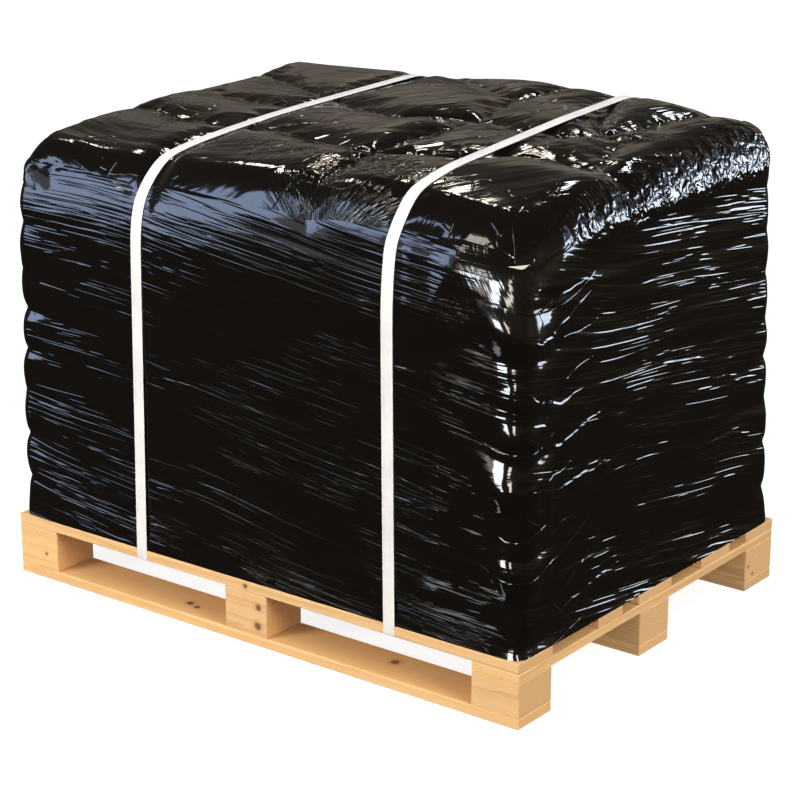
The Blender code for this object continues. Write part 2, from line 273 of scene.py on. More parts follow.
def rounded(x, y, half_x, half_y, radius):
    cx, cy = clamp(x, radius - half_x, half_x - radius), clamp(y, radius - half_y, half_y - radius)
    dx, dy = x - cx, y - cy
    if dx == 0 or dy == 0:
        return x, y
    scale = max(abs(dx), abs(dy)) / math.hypot(dx, dy)
    return cx + dx * scale, cy + dy * scale


def side_point(a, b, z):
    """The load's side at a height: a and b run from -1 to 1 along and across, one of them at its end."""
    half_x, half_y = half_sizes(z)
    x, y = rounded(a * half_x, b * half_y, half_x, half_y, corner_radius(a, z))
    return Vector((x, y - near_bulge(x, y, z), z))


def shoulder_radii(a, b):
    """Radius of the shoulder along and across, for a place on the rim."""
    return SHOULDERS_X[0 if a < 0 else 1], SHOULDERS_Y[0 if b < 0 else 1]


def rim_turn(a, b):
    """The shoulder's radius at a place on the rim, blended round the corners."""
    radius_x, radius_y = shoulder_radii(a, b)
    near_end = smooth(abs(a), 0.84, 1.0)
    near_side = smooth(abs(b), 0.84, 1.0)
    return (radius_x * near_end + radius_y * near_side) / max(1e-6, near_end + near_side)


def inner_point(a, b):
    """The same place on the edge of the flat part of the top."""
    half_x, half_y = half_sizes(LAST_JOINT)
    low_x, high_x = SHOULDERS_X[0] - half_x, half_x - SHOULDERS_X[1]
    low_y, high_y = SHOULDERS_Y[0] - half_y, half_y - SHOULDERS_Y[1]
    x = low_x + (high_x - low_x) * (a + 1) / 2
    y = low_y + (high_y - low_y) * (b + 1) / 2
    return x, y


def shoulder_point(a, b, angle):
    """A point of the shoulder: angle 0 is the flat top's edge, a right angle is the side."""
    x_in, y_in = inner_point(a, b)
    y_in -= near_bulge(x_in, y_in, LAST_JOINT)
    outer = side_point(a, b, LAST_JOINT + RIM)
    out = math.sin(angle)
    x, y = x_in + (outer.x - x_in) * out, y_in + (outer.y - y_in) * out
    return Vector((x, y, top_height(x, y) - rim_turn(a, b) * (1 - math.cos(angle))))


def shoulder_foot(a, b):
    return shoulder_point(a, b, math.pi / 2).z


def spread(count):
    """Shares from -1 to 1 that lie closer together towards both ends."""
    shares = [-1 + 2 * i / count for i in range(count + 1)]
    return [0.6 * s + 0.4 * math.sin(s * math.pi / 2) for s in shares]


def rim_places(along, across):
    """The places (a, b) round the load, anticlockwise from the near left corner."""
    ring = [(a, -1.0) for a in along[:-1]] + [(1.0, b) for b in across[:-1]]
    ring += [(a, 1.0) for a in along[:0:-1]] + [(-1.0, b) for b in across[:0:-1]]
    return ring


# ---------------------------------------------------------------- the film's relief

def pass_height(p):
    """Height measured along the sloping passes of the film."""
    bow = 0.035 * noise.noise(Vector((p.x * 1.6, p.y * 1.6, p.z * 1.8 + 3)))
    return p.z + CLIMB_X * p.x + CLIMB_Y * p.y + bow


def cornerness(p, start=0.80):
    """0 at the middle of a side, 1 at a vertical edge of the load."""
    half_x, half_y = half_sizes(p.z)
    return smooth(min(abs(p.x) / half_x, abs(p.y) / half_y), start, 0.99)


def ridge(value, sharpness):
    """A crest where the noise passes through zero."""
    return (1 - min(1.0, abs(value) * 2)) ** sharpness


def corner_sag(p):
    """How much higher a fold runs beside the near right corner than at it: folds hang there in a V."""
    if p.x < 0.35 or p.y > 0.05:
        return 0.0
    right = 0.24 * clamp(p.y + 0.40, 0.0, 0.20) * (1 - smooth(p.y, -0.24, 0.0))
    near = 0.40 * clamp(0.585 - p.x, 0.0, 0.09) * smooth(p.x, 0.38, 0.50)
    return right + (near if p.y < -0.38 else 0.0)


def side_lean(p):
    """How far the near side leans in below its shoulder, from a soft kink in the film."""
    if p.y > 0:
        return 0.0
    kink = 0.745 - 0.035 * (p.x + 0.5) + 0.08 * smooth(p.x, 0.40, 0.47) - 0.95 * clamp(p.x - 0.465, 0.0, 0.12)
    share = smooth(-p.y, 0.30, 0.40)
    return 0.13 * share * clamp(p.z - kink, 0.0, 0.115)


def end_swell(p):
    """How far the near side swells beside the right end, where the sacks' ends are full and round."""
    if p.y > -0.35 or p.x < 0.22:
        return 0.0
    rise = smooth(p.x, 0.22, 0.44) * (1 - smooth(p.x, 0.40, 0.60))
    return 0.011 * rise * smooth(p.z, 0.12, 0.26) * (1 - smooth(p.z, 0.80, 0.86))


def corner_lumps(p):
    """How far the near side stands out in the lumps beside the near right corner."""
    if p.y > -0.34 or p.x < 0.40:
        return 0.0
    out = 0.0
    for x, z, length, width, height in CORNER_LUMPS:
        along = (0.55 * (p.x - x) - 0.84 * (p.z - z)) / length
        aside = (0.84 * (p.x - x) + 0.55 * (p.z - z)) / width
        out += height * math.exp(-along * along - aside * aside)
    return out


def side_relief(p, film):
    """How far the wrapped side stands out of or falls back from the plain form."""
    corner = cornerness(p, 0.70 if p.x > 0 > p.y else 0.80)
    sway = 0.020 * noise.noise(Vector((p.x * 2.6, p.y * 2.6, p.z * 4.0)))
    phase = (p.z - corner_sag(p) + sway * (0.3 + corner) - DECK_TOP) / LAYER_PITCH % 1.0
    fade = smooth(LAST_JOINT + 0.03 - p.z, 0.0, 0.05)
    uneven = 0.30 + 1.5 * abs(noise.noise(Vector((p.x * 3, p.y * 3, p.z * 9))))
    if p.x > 0.40 and p.y < -0.38:
        uneven *= 0.45
    depth = 0.0010 + film.valley_depth * corner * uneven
    valley = depth * abs(2 * phase - 1) ** 2.2 * fade
    level = pass_height(p)
    foot = 1 + 1.4 * (1 - smooth(p.z, DECK_TOP, 0.26))
    drawn = ridge(noise.noise(Vector((p.x * 1.3, p.y * 1.3, level * 26))), 2.0)
    cluster = smooth(noise.noise(Vector((p.x * 1.6 + 7, p.y * 1.6, level * 6))), -0.05, 0.5)
    rumple = noise.turbulence(p * 9, 2, False) * corner * (1.7 if p.x < 0 else 1.0)
    drawn *= film.wrinkle_depth * cluster * (1 - 0.5 * corner) * foot
    return 0.0015 - valley + drawn + 0.0028 * rumple - side_lean(p) + end_swell(p) + corner_lumps(p)


def shoulder_relief(p, angle, film):
    """Gathers and crumples where the passes round the side pull in over the shoulder."""
    reach = math.sin(2 * angle) ** 0.5
    crumple = noise.turbulence(Vector((p.x * 24, p.y * 24, p.z * 34)), 3, True)
    right = smooth(p.x, 0.50, 0.57) * smooth(p.y, -0.28, -0.16)
    left = 0.6 * smooth(-p.x, 0.40, 0.56)
    return 0.0012 + film.crumple_depth * reach * (0.12 + right + left) * crumple


def top_relief(p):
    """Soft folds in the sheet over the top sacks, with sharper ones beside the valleys."""
    low = 1 - pillow_height(p.x, p.y)
    soft = noise.noise(Vector((p.x * 6, p.y * 9, 3.1)))
    fold = ridge(noise.noise(Vector((p.x * 8 + p.y * 4, p.y * 13, 1.7))), 2.5)
    fine = ridge(noise.noise(Vector((p.x * 19, p.y * 30, 5.5))), 2.0)
    return 0.0025 * soft + 0.0035 * fold * low + 0.0022 * fine * low ** 2


# ---------------------------------------------------------------- mesh helpers

def mesh_object(name, points, faces, materials=()):
    mesh = bpy.data.meshes.new(name)
    mesh.from_pydata(points, [], faces)
    mesh.validate()
    for material in materials:
        mesh.materials.append(material)
    mesh.shade_smooth()
    obj = bpy.data.objects.new(name, mesh)
    bpy.context.scene.collection.objects.link(obj)
    return obj


def push_out(obj, distances):
    """Moves each point along its own normal."""
    normals = [v.normal.copy() for v in obj.data.vertices]
    for vert, normal, distance in zip(obj.data.vertices, normals, distances):
        vert.co += normal * distance
    obj.data.update()


def ring_faces(rows, columns, first=0):
    faces = []
    for row in range(rows - 1):
        for i in range(columns):
            j = (i + 1) % columns
            low, high = first + row * columns, first + (row + 1) * columns
            faces.append((low + i, low + j, high + j, high + i))
    return faces


def wander(p):
    """A push that changes from place to place, the same in every run."""
    return Vector([noise.noise(p + Vector((shift, 0, 0))) for shift in (0, 31, 67)])


def open_route(places, step):
    """Points about a step apart along a line through the places, wandering a little."""
    places = [Vector(place) for place in places]
    out = []
    for here, after in zip(places, places[1:]):
        count = max(1, round((after - here).length / step))
        out += [here.lerp(after, k / count) for k in range(count)]
    return [p + 0.0036 * wander(p * 40) for p in out + [places[-1]]]


def add_creases(obj, routes):
    """Adds sharp creases to the film: low ridges with a broad upper flank and a steep lower one."""
    mesh = obj.data
    surface = bvhtree.BVHTree.FromPolygons([v.co for v in mesh.vertices], [p.vertices for p in mesh.polygons])
    bm = bmesh.new()
    bm.from_mesh(mesh)
    for route in routes:
        path = open_route(route, 0.003)
        rows = []
        for i, p in enumerate(path):
            foot, normal, _, _ = surface.find_nearest(p)
            along = path[min(i + 1, len(path) - 1)] - path[max(i - 1, 0)]
            up = along.cross(normal).normalized()
            up = -up if up.z < 0 else up
            width = 0.0040 * (1 - abs(2 * i / (len(path) - 1) - 1) ** 3) * (0.75 + 0.6 * noise.noise(p * 30)) + 0.0002
            apex = foot + normal * (0.0002 + 0.24 * width)
            rows.append([bm.verts.new(v) for v in (foot + up * width + normal * 0.0002, apex, apex,
                                                   foot - up * width * 0.4 + normal * 0.0002)])
        for low, high in zip(rows, rows[1:]):
            for k in (0, 2):
                face = bm.faces.new((low[k], low[k + 1], high[k + 1], high[k]))
                face.smooth = True
                face.normal_update()
                if face.normal.dot(surface.find_nearest(face.calc_center_median())[1]) < 0:
                    face.normal_flip()
    bm.to_mesh(mesh)
    bm.free()


# ---------------------------------------------------------------- nodes

def add_node(tree, kind, inputs=None, **settings):
    """Adds a node, sets its plain settings, and fills or links its inputs by name or number."""
    made = tree.nodes.new(kind)
    for key, value in settings.items():
        setattr(made, key, value)
    for key, value in (inputs or {}).items():
        socket = made.inputs[key]
        if isinstance(value, bpy.types.NodeSocket):
            tree.links.new(value, socket)
        else:
            socket.default_value = value
    return made


def new_material(name):
    material = bpy.data.materials.new(name)
    material.use_nodes = True
    tree = material.node_tree
    tree.nodes.clear()
    return material, tree


def maths(tree, operation, one, two=0.0, three=0.0):
    return add_node(tree, "ShaderNodeMath", {0: one, 1: two, 2: three}, operation=operation).outputs[0]


def mix_colours(tree, share, one, two):
    made = add_node(tree, "ShaderNodeMix", {0: share, 6: one, 7: two}, data_type="RGBA")
    return made.outputs[2]


def remap(tree, value, low, high, to_low=0.0, to_high=1.0):
    return add_node(tree, "ShaderNodeMapRange", {
        "Value": value, "From Min": low, "From Max": high, "To Min": to_low, "To Max": to_high,
    }, interpolation_type="SMOOTHSTEP").outputs[0]


def noise_value(tree, vector, scale, detail=2.0, rough=0.5, warp=0.0):
    return add_node(tree, "ShaderNodeTexNoise", {
        "Vector": vector, "Scale": scale, "Detail": detail, "Roughness": rough, "Distortion": warp,
    }).outputs[0]


def finish_surface(tree, shader):
    add_node(tree, "ShaderNodeOutputMaterial", {"Surface": shader})


# ---------------------------------------------------------------- materials

def split(tree, vector):
    return add_node(tree, "ShaderNodeSeparateXYZ", {0: vector}).outputs


def joined(tree, x, y, z):
    return add_node(tree, "ShaderNodeCombineXYZ", {0: x, 1: y, 2: z}).outputs[0]


def total(tree, *terms):
    """The sum of products: each term is a value and its weight, or a value with two weights."""
    whole = 0.0
    for value, *weights in terms:
        for weight in weights:
            value = maths(tree, "MULTIPLY", value, weight)
        whole = maths(tree, "ADD", value, whole)
    return whole


def crest(tree, value, width):
    """1 along the line where a noise crosses its middle value, falling to 0 on both sides."""
    away = maths(tree, "ABSOLUTE", maths(tree, "SUBTRACT", value, 0.5))
    return remap(tree, away, width, 0.0)


def stretched_along(tree, x, y, level, per_metre, lines_per_metre):
    """A place for noise that makes long marks along the passes: marks per metre along them and across them."""
    return joined(tree, maths(tree, "MULTIPLY", x, per_metre), maths(tree, "MULTIPLY", y, per_metre),
                  maths(tree, "MULTIPLY", level, lines_per_metre))


def maths_vector(tree, vector, shift):
    """The vector moved the same way along all axes by a small part of a noise."""
    moved = maths(tree, "MULTIPLY_ADD", shift, 0.05, -0.025)
    return add_node(tree, "ShaderNodeVectorMath", {0: vector, 1: joined(tree, moved, moved, moved)}, operation="ADD").outputs[0]


def crease_net(tree, vector, scale, width):
    """A net of straight creases that meet at points, as in film that was crumpled and pulled flat again."""
    away = add_node(tree, "ShaderNodeTexVoronoi", {"Vector": vector, "Scale": scale},
                    feature="DISTANCE_TO_EDGE").outputs["Distance"]
    return remap(tree, away, width, 0.0)


def gloss_black(tree, settings, height, roughness):
    bump = add_node(tree, "ShaderNodeBump", {"Height": height, "Distance": 1.0, "Strength": 1.0})
    shader = add_node(tree, "ShaderNodeBsdfPrincipled", {
        "Base Color": settings.colour, "Roughness": roughness, "IOR": 1.51,
        "Normal": bump.outputs[0]})
    finish_surface(tree, shader.outputs[0])


def film_side_material(settings):
    """Black linear low-density polyethylene film, blown, then stretched on by hand: a mirror-like skin
    that shows little but what it reflects, drawn into fine parallel wrinkles along the pull."""
    material, tree = new_material("Polyethylene_stretched_side")
    place = add_node(tree, "ShaderNodeTexCoord").outputs["Object"]
    x, y, z = split(tree, place)
    bow = maths(tree, "MULTIPLY_ADD", noise_value(tree, place, 1.5, 1), 0.08, -0.04)
    level = maths(tree, "MULTIPLY_ADD", x, CLIMB_X, maths(tree, "MULTIPLY_ADD", y, CLIMB_Y, z))
    level = maths(tree, "ADD", level, bow)
    # Folds 30 mm apart, long lines 16 mm and 11 mm apart, and short ones about 60 mm long, along the passes.
    folds = noise_value(tree, stretched_along(tree, x, y, level, 2.0, 33), 1.0, 2, 0.5, 0.1)
    long_lines = crest(tree, noise_value(tree, stretched_along(tree, x, y, level, 2.2, 62), 1.0, 1, 0.5, 0.2), 0.08)
    hair_lines = crest(tree, noise_value(tree, stretched_along(tree, x, y, level, 3.0, 92), 1.0, 1, 0.5, 0.3), 0.12)
    dashes = remap(tree, noise_value(tree, stretched_along(tree, x, y, level, 9.0, 85), 1.0, 1, 0.5, 0.1), 0.53, 0.68)
    patches = remap(tree, noise_value(tree, stretched_along(tree, x, y, level, 4.0, 15), 1.0, 2), 0.42, 0.62)
    bands = remap(tree, noise_value(tree, stretched_along(tree, x, y, level, 3.0, 10), 1.0, 2), 0.46, 0.66)
    right_face = remap(tree, x, 0.52, 0.58)
    # The pull is strongest low down, where the passes grip the deck, and under the shoulder.
    strength = maths(tree, "MULTIPLY_ADD", remap(tree, z, 0.65, 0.15), 1.20, 0.85)
    strength = maths(tree, "MULTIPLY_ADD", remap(tree, x, -0.45, 0.10), 0.35, strength)
    strength = add_node(tree, "ShaderNodeMix", {
        0: right_face, 2: strength, 3: remap(tree, z, 0.20, 0.70, 1.30, 1.10)}).outputs[0]
    under_shoulder = maths(tree, "MULTIPLY", remap(tree, z, 0.700, 0.745), remap(tree, y, -0.20, -0.40))
    under_shoulder = maths(tree, "MULTIPLY", under_shoulder, remap(tree, x, 0.46, 0.40))
    # The film is pulled smooth under the shoulder beside the near right corner.
    pulled = maths(tree, "MULTIPLY", remap(tree, x, 0.42, 0.49), remap(tree, z, 0.66, 0.72))
    pulled = maths(tree, "MULTIPLY", pulled, remap(tree, y, -0.34, -0.38))
    strength = maths(tree, "MULTIPLY", strength, maths(tree, "MULTIPLY_ADD", pulled, -0.5, 1.0))
    # Creases hang in a V at the near right corner, and crumples fill it and the shoulders.
    corner_at = (LOAD_LENGTH / 2, -LOAD_WIDTH / 2, 0)
    flat = joined(tree, x, y, 0.0)
    edge_way = add_node(tree, "ShaderNodeVectorMath", {0: flat, 1: corner_at}, operation="DISTANCE").outputs[1]
    beside = maths(tree, "MULTIPLY", remap(tree, edge_way, 0.27, 0.10), remap(tree, x, 0.505, 0.545))
    at_edge = remap(tree, edge_way, 0.11, 0.03)
    lumps = noise_value(tree, place, 14, 1, 0.5, 0.8)
    up_right = maths(tree, "MULTIPLY", add_node(tree, "ShaderNodeClamp", {
        0: maths(tree, "ADD", y, 0.40), 1: 0.0, 2: 0.22}).outputs[0], 0.30)
    up_near = maths(tree, "MULTIPLY", add_node(tree, "ShaderNodeClamp", {
        0: maths(tree, "SUBTRACT", 0.585, x), 1: 0.0, 2: 0.10}).outputs[0], 0.40)
    hang = maths(tree, "SUBTRACT", maths(tree, "SUBTRACT", z, up_right), up_near)
    hang = maths(tree, "ADD", hang, maths(tree, "MULTIPLY_ADD", noise_value(tree, place, 5, 2, 0.5), 0.10, -0.05))
    fold = maths(tree, "FRACT", maths(tree, "DIVIDE", hang, 0.075))
    fold = maths(tree, "ABSOLUTE", maths(tree, "SUBTRACT", fold, 0.5))
    crease = remap(tree, fold, 0.035, 0.0)
    some = remap(tree, noise_value(tree, place, 7.5, 1), 0.42, 0.46)
    calm = maths(tree, "MULTIPLY_ADD", beside, -0.7, 1.0)
    # There the pull gathers it into small pleats, 12 mm apart, that run down to the corner.
    down = maths(tree, "MULTIPLY_ADD", x, 8.0, maths(tree, "MULTIPLY", z, -12.0))
    over = maths(tree, "MULTIPLY_ADD", x, 70.0, maths(tree, "MULTIPLY", z, 46.0))
    gathers = noise_value(tree, joined(tree, down, y, over), 1.0, 2, 0.6, 0.3)
    crumple = noise_value(tree, place, 55, 1, 0.5, 0.8)
    shoulder = maths(tree, "MULTIPLY", remap(tree, z, 0.805, 0.845), remap(tree, y, -0.34, -0.23))
    shoulder = maths(tree, "MULTIPLY", shoulder, right_face)
    left_rim = maths(tree, "MULTIPLY", remap(tree, z, 0.842, 0.856), remap(tree, x, 0.10, -0.06))
    height = total(
        tree, (folds, 0.0024, strength), (long_lines, bands, 0.00062, strength, calm),
        (hair_lines, patches, 0.00034, strength, calm), (hair_lines, under_shoulder, 0.00080),
        (dashes, patches, 0.00062, strength, calm), (crease, some, beside, -0.0008),
        (lumps, at_edge, 0.004), (gathers, pulled, 0.0016), (crumple, shoulder, 0.0068), (crumple, left_rim, 0.0035))
    gloss_black(tree, settings, height, maths(tree, "MULTIPLY_ADD", pulled, 0.05, settings.roughness))
    return material


def film_top_material(settings):
    """The same film laid over the top as a sheet: broad soft folds, fine creases beside the valleys
    between sacks, and pleats that fan out where the wrap gathers its rim."""
    material, tree = new_material("Polyethylene_laid_top")
    place = add_node(tree, "ShaderNodeTexCoord").outputs["Object"]
    x, y, z = split(tree, place)
    # The sheet is pulled along the load at its left end and across it at its right end.
    turn = maths(tree, "MULTIPLY_ADD", x, 0.9, 0.70)
    cosine, sine = maths(tree, "COSINE", turn), maths(tree, "SINE", turn)
    along = maths(tree, "MULTIPLY_ADD", x, cosine, maths(tree, "MULTIPLY", y, sine))
    across = maths(tree, "SUBTRACT", maths(tree, "MULTIPLY", y, cosine), maths(tree, "MULTIPLY", x, sine))
    broad = noise_value(tree, joined(tree, maths(tree, "MULTIPLY", along, 5), maths(tree, "MULTIPLY", across, 17), z), 1.0, 1, 0.5, 0.4)
    smears = noise_value(tree, joined(tree, maths(tree, "MULTIPLY", along, 6), maths(tree, "MULTIPLY", across, 36), z), 1.0, 1, 0.5, 0.3)
    streaks = crest(tree, noise_value(
        tree, joined(tree, maths(tree, "MULTIPLY", along, 7), maths(tree, "MULTIPLY", across, 60), z), 1.0, 1, 0.5, 0.3), 0.10)
    dents = noise_value(tree, place, 9, 1, 0.5, 0.8)
    net = crease_net(tree, maths_vector(tree, place, noise_value(tree, place, 9, 2)), 19, 0.05)
    patches = remap(tree, noise_value(tree, place, 7, 2), 0.50, 0.60)
    others = remap(tree, noise_value(tree, place, 5, 2), 0.60, 0.48)
    near_corner = maths(tree, "MULTIPLY", remap(tree, x, 0.38, 0.48), remap(tree, y, -0.22, -0.32))
    # Small crinkles run down over the brow of the front sacks.
    brow = maths(tree, "MULTIPLY", remap(tree, y, -0.37, -0.31), remap(tree, y, -0.16, -0.22))
    brow = maths(tree, "MULTIPLY", brow, remap(tree, x, -0.30, -0.05, 0.30, 1.0))
    brow = maths(tree, "MULTIPLY", brow, remap(tree, noise_value(tree, place, 4, 1), 0.45, 0.57))
    crinkle = noise_value(tree, joined(tree, maths(tree, "MULTIPLY", x, 75), maths(tree, "MULTIPLY", y, 26), z), 1.0, 2, 0.6, 0.6)
    # The fan: pleats a few millimetres apart, spreading from a point under the wrap's upper edge.
    reach = maths(tree, "ADD", maths(tree, "SUBTRACT", z, 0.735), maths(tree, "ADD", y, 0.43))
    lean = maths(tree, "ARCTAN2", maths(tree, "SUBTRACT", x, 0.165), reach)
    pleat = crest(tree, noise_value(tree, joined(tree, lean, 0.7, maths(tree, "MULTIPLY", z, 0.6)), 17, 2, 0.6), 0.12)
    aside = maths(tree, "ABSOLUTE", maths(tree, "SUBTRACT", x, 0.165))
    window = maths(tree, "MULTIPLY", remap(tree, aside, 0.16, 0.11), remap(tree, reach, 0.26, 0.18))
    window = maths(tree, "MULTIPLY", window, remap(tree, y, -0.28, -0.35))
    height = total(tree, (broad, 0.0034), (smears, 0.0016), (dents, 0.0018), (streaks, others, 0.00014), (net, patches, 0.0007), (net, near_corner, 0.00018),
                   (crinkle, brow, 0.0022), (pleat, window, 0.0014))
    gloss_black(tree, settings, height, settings.roughness)
    return material


def strap_material(settings):
    """Polypropylene strapping, extruded and rolled with a fine diamond emboss: a satin, milky white."""
    material, tree = new_material("Polypropylene_embossed")
    place = add_node(tree, "ShaderNodeTexCoord").outputs["Object"]
    emboss = add_node(tree, "ShaderNodeTexWave", {"Vector": place, "Scale": 95.0, "Distortion": 0.0},
                      wave_type="BANDS", bands_direction="DIAGONAL").outputs[1]
    tone = noise_value(tree, place, 14, 3, 0.6)
    colour = mix_colours(tree, remap(tree, tone, 0.35, 0.7), settings.colour, srgb("E4E5E8"))
    bump = add_node(tree, "ShaderNodeBump", {"Height": emboss, "Distance": 0.0002, "Strength": 0.6})
    shader = add_node(tree, "ShaderNodeBsdfPrincipled", {
        "Base Color": colour, "Roughness": 0.42, "IOR": 1.49, "Normal": bump.outputs[0]})
    finish_surface(tree, shader.outputs[0])
    return material


def sack_material():
    """Woven polypropylene sack cloth: flat tapes about 2.5 mm wide, over and under, hidden by the film."""
    material, tree = new_material("Polypropylene_woven")
    place = add_node(tree, "ShaderNodeTexCoord").outputs["Object"]
    weave = add_node(tree, "ShaderNodeTexChecker", {"Vector": place, "Scale": 400.0}).outputs[1]
    tone = noise_value(tree, place, 6, 3, 0.6)
    colour = mix_colours(tree, remap(tree, tone, 0.3, 0.7), srgb("D9D5C8"), srgb("C4BEAE"))
    bump = add_node(tree, "ShaderNodeBump", {"Height": weave, "Distance": 0.0003, "Strength": 0.7})
    shader = add_node(tree, "ShaderNodeBsdfPrincipled", {
        "Base Color": colour, "Roughness": 0.6, "Normal": bump.outputs[0]})
    finish_surface(tree, shader.outputs[0])
    return material


def timber_material(name, settings, grain_axis, knots=()):
    """Pale pine, sawn and dried: rings seen as long stripes along the board and as arcs on its end."""
    material, tree = new_material(name)
    place = add_node(tree, "ShaderNodeTexCoord").outputs["Object"]
    chance = add_node(tree, "ShaderNodeObjectInfo").outputs["Random"]
    parts = add_node(tree, "ShaderNodeSeparateXYZ", {0: place})
    axes = [0, 1, 2]
    along = parts.outputs[grain_axis]
    side, up = [parts.outputs[i] for i in axes if i != grain_axis]
    # The board is cut from a log whose heart lies below it, at a different place for each board.
    heart_side = maths(tree, "MULTIPLY_ADD", chance, 0.5, -0.25)
    side = maths(tree, "SUBTRACT", side, heart_side)
    up = maths(tree, "ADD", up, maths(tree, "MULTIPLY_ADD", chance, 0.05, 0.02))
    stretched = add_node(tree, "ShaderNodeCombineXYZ", {
        0: maths(tree, "MULTIPLY", along, 0.06), 1: side, 2: up}).outputs[0]
    wander = noise_value(tree, stretched, 14, 3, 0.55)
    radius = maths(tree, "SQRT", maths(tree, "ADD", maths(tree, "MULTIPLY", side, side), maths(tree, "MULTIPLY", up, up)))
    radius = maths(tree, "MULTIPLY_ADD", wander, 0.035, radius)
    turns = maths(tree, "DIVIDE", radius, settings.ring)
    ring = maths(tree, "FRACT", turns)
    late = maths(tree, "POWER", ring, 3.0)
    streak = add_node(tree, "ShaderNodeCombineXYZ", {
        0: maths(tree, "MULTIPLY", along, 0.03), 1: side, 2: up}).outputs[0]
    fibre = noise_value(tree, streak, 260, 3, 0.7)
    cloud = noise_value(tree, stretched, 5, 2, 0.5)
    colour = mix_colours(tree, maths(tree, "MULTIPLY", late, 0.62), settings.early, settings.late)
    colour = mix_colours(tree, remap(tree, fibre, 0.45, 0.8, 0.0, 0.35), colour, srgb("C98F50"))
    colour = mix_colours(tree, remap(tree, cloud, 0.3, 0.75, 0.0, 0.4), colour, srgb("E8B878"))
    tone = maths(tree, "MULTIPLY_ADD", chance, 0.14, 0.92)
    colour = add_node(tree, "ShaderNodeVectorMath", {0: colour, 3: tone}, operation="SCALE").outputs[0]
    for spot, size in knots:
        away = add_node(tree, "ShaderNodeVectorMath", {0: place, 1: spot}, operation="DISTANCE").outputs[1]
        away = maths(tree, "MULTIPLY_ADD", fibre, size * 0.5, away)
        halo = remap(tree, away, size * 2.4, size * 0.9, 0.0, 0.45)
        core = remap(tree, away, size * 1.25, size * 0.8, 0.0, 0.9)
        colour = mix_colours(tree, halo, colour, srgb("C68A4B"))
        colour = mix_colours(tree, core, colour, srgb("6B3F20"))
    rough = remap(tree, fibre, 0.3, 0.8, 0.62, 0.8)
    height = maths(tree, "MULTIPLY_ADD", late, 0.0002, maths(tree, "MULTIPLY", fibre, 0.0004))
    bump = add_node(tree, "ShaderNodeBump", {"Height": height, "Distance": 1.0, "Strength": 0.8})
    shader = add_node(tree, "ShaderNodeBsdfPrincipled", {
        "Base Color": colour, "Roughness": rough, "Normal": bump.outputs[0]})
    finish_surface(tree, shader.outputs[0])
    return material


# ---------------------------------------------------------------- operators

def dress(names, material):
    """Gives CAD nodes a finish through their own slots."""
    for name in names:
        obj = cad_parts[name]
        if not obj.material_slots:
            obj.data.materials.append(material)
        for held in obj.material_slots:
            held.material = material


def nodes_named(start):
    found = sorted(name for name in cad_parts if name.startswith(start))
    if not found:
        raise RuntimeError("the frame has no node whose name starts with " + start)
    return found


class PALLET_OT_timber(bpy.types.Operator):
    """Give the pallet's boards and blocks a sawn pine finish"""
    bl_idname = "pallet.timber"
    bl_label = "Pine boards and blocks"

    def execute(self, context):
        settings = context.scene.pallet_timber
        knots_bottom = (((-0.189, -0.395, 0.020), 0.009), ((-0.166, -0.402, 0.020), 0.007),
                        ((0.287, -0.374, 0.020), 0.010), ((0.600, 0.247, 0.010), 0.008))
        knots_deck = (((-0.012, -0.4375, 0.113), 0.006),)
        knots_block = (((0.019, -0.4375, 0.078), 0.008), ((0.017, -0.4375, 0.040), 0.010),
                       ((-0.530, -0.4375, 0.052), 0.004), ((0.600, 0.348, 0.049), 0.0035),
                       ((0.600, 0.365, 0.030), 0.0035))
        dress(nodes_named("bottom_board"), timber_material("Pine_sawn_bottom_board", settings, 0, knots_bottom))
        dress(nodes_named("deck_board"), timber_material("Pine_sawn_deck_board", settings, 0, knots_deck))
        dress(nodes_named("cross_board"), timber_material("Pine_sawn_cross_board", settings, 1))
        dress(nodes_named("block"), timber_material("Pine_sawn_block", settings, 0, knots_block))
        return {"FINISHED"}


class PALLET_OT_sacks(bpy.types.Operator):
    """Give the sacks under the film a woven cloth finish"""
    bl_idname = "pallet.sacks"
    bl_label = "Sack cloth"

    def execute(self, context):
        dress(nodes_named("sack_layer"), sack_material())
        return {"FINISHED"}


class PALLET_OT_film_side(bpy.types.Operator):
    """Wind the film round the sides, from the deck up over the shoulder"""
    bl_idname = "pallet.film_side"
    bl_label = "Film round the sides"

    def execute(self, context):
        film = context.scene.pallet_film
        ring = rim_places(spread(166), spread(120))
        rows_side, rows_shoulder = 140, 28
        points, angles = [], []
        for step in range(rows_side):
            share = step / rows_side
            for a, b in ring:
                z = DECK_TOP + 0.0004 + (shoulder_foot(a, b) - DECK_TOP) * share
                points.append(side_point(a, b, z))
                angles.append(math.pi / 2)
        for step in range(rows_shoulder):
            for a, b in ring:
                edge = wrap_edge(a, b)
                angle = math.pi / 2 - (math.pi / 2 - edge) * step / (rows_shoulder - 1)
                points.append(shoulder_point(a, b, angle))
                angles.append(angle)
        faces = ring_faces(rows_side + rows_shoulder, len(ring))
        obj = mesh_object("film_round_sides", points, faces, [film_side_material(film)])
        push_out(obj, [
            side_relief(p, film) + shoulder_relief(p, angle, film) * smooth(p.z, 0.78, 0.84)
            for p, angle in zip(points, angles)])
        add_creases(obj, CREASES)
        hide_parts("stretch_film")
        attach(obj, "root")
        return {"FINISHED"}


def wrap_edge(a, b):
    """How far up the shoulder the wrap's upper edge lies, as the shoulder's angle."""
    if b <= -1.0:
        return math.radians(42 + 22 * smooth(a, -0.75, 0.15) - 12 * smooth(a, 0.35, 1.0))
    if a >= 1.0:
        return math.radians(52 - 32 * smooth(b, -0.9, -0.3))
    return math.radians(45)


